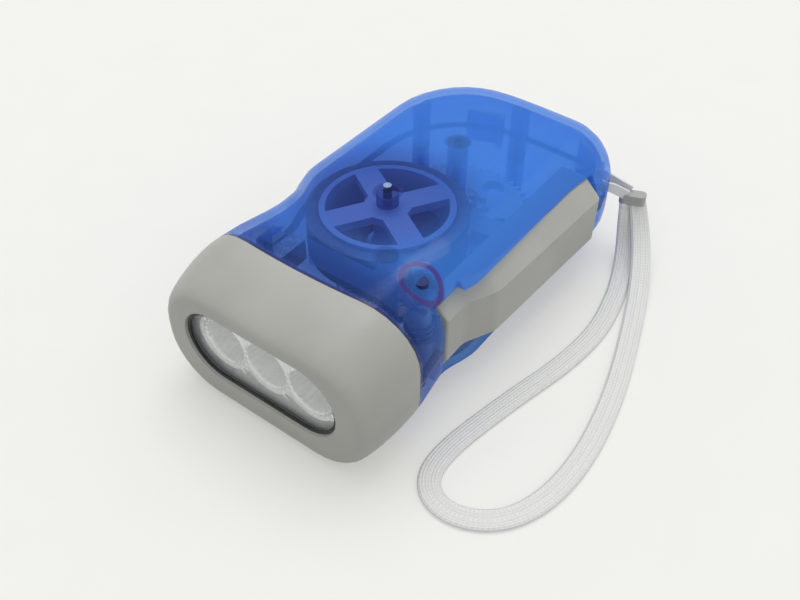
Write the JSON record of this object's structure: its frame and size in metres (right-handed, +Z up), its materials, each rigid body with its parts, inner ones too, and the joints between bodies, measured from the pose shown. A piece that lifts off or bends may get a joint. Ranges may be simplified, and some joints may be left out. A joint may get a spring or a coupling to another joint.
{
  "type": "hand crank flashlight",
  "caption": "Pocket torch with a squeeze lever, gear train and flywheel dynamo under clear shells, lights in a row and a wrist strap.",
  "frame": {"origin": "on the flat underside, near the middle of the body's length and width", "axes": "+X the way the beam goes, +Y towards the side with the lever, +Z up from the surface the torch lies on"},
  "size_m": [0.1054, 0.0885, 0.033],
  "materials": {
    "clear_blue": "polished translucent moulding",
    "grey_head": "fine satin texture",
    "grey_lever": "fine satin texture",
    "clear_lens": "polished clear plastic",
    "black_seal": "matte",
    "plated": "vacuum plated mirror",
    "board": "solder mask",
    "led_clear": "clear epoxy",
    "steel": "bright",
    "white_gear": "natural acetal",
    "ferrite": "sintered",
    "black_spool": "moulded",
    "copper": "enamelled wire",
    "battery_wrap": "shrink sleeve",
    "nickel": "bright strip",
    "strap_band": "woven flat band"
  },
  "bodies": {
    "root": {"upper_shell": "clear_blue", "lower_shell": "clear_blue", "head_bezel": "grey_head", "lens": "clear_lens", "lens_seal": "black_seal", "reflector": "plated", "led_board": "board", "led_1": "led_clear", "led_2": "led_clear", "led_3": "led_clear", "stator_plate_lower": "steel", "stator_plate_upper": "steel", "coil_bobbin": "black_spool", "coil_winding": "copper", "battery_pack": "battery_wrap", "battery_tab_left": "nickel", "battery_tab_right": "nickel", "switch_body": "steel", "case_screws": "steel", "lever_spring": "steel", "lever_pivot_pin": "steel", "drive_axle": "steel", "flywheel_axle": "steel", "strap_loop": "strap_band", "strap_crimp": "grey_head", "wrist_strap": "strap_band"},
    "lever": {"lever": "grey_lever"},
    "clutch": {"clutch_pinion": "white_gear"},
    "drive": {"drive_gear": "white_gear"},
    "flywheel": {"flywheel_spider": "white_gear", "flywheel_ring": "steel", "magnet": "ferrite"},
    "switch": {"switch_knob": "grey_head"},
    "lock": {"lever_lock": "grey_lever"}
  },
  "joints": [
    {"name": "lever_hinge", "type": "hinge", "parent": "root", "child": "lever", "pos_m": [0.024, 0.0196, 0.0165], "axis": [0, 0, -1], "range_deg": [0, 20]},
    {"name": "clutch_spin", "type": "hinge", "parent": "root", "child": "clutch", "pos_m": [-0.0212, -0.00177, 0.0142], "axis": [0, 0, 1], "range_deg": [0, 202.3]},
    {"name": "flywheel_spin", "type": "hinge", "parent": "root", "child": "flywheel", "pos_m": [0.00434, -0.00337, 0.0222], "axis": [0, 0, 1], "continuous": true},
    {"name": "drive_spin", "type": "hinge", "parent": "root", "child": "drive", "pos_m": [-0.0212, -0.00177, 0.0108], "axis": [0, 0, 1], "continuous": true},
    {"name": "switch_slide", "type": "slide", "parent": "root", "child": "switch", "axis": [1, 0, 0], "range_m": [0, 0.004]},
    {"name": "lock_slide", "type": "slide", "parent": "root", "child": "lock", "axis": [1, 0, 0], "range_m": [0, 0.003]}
  ],
  "couplings": [
    {"joint": "clutch_spin", "follows": "lever_hinge", "ratio": 10.111},
    {"joint": "drive_spin", "follows": "flywheel_spin", "ratio": -0.3913}
  ]
}
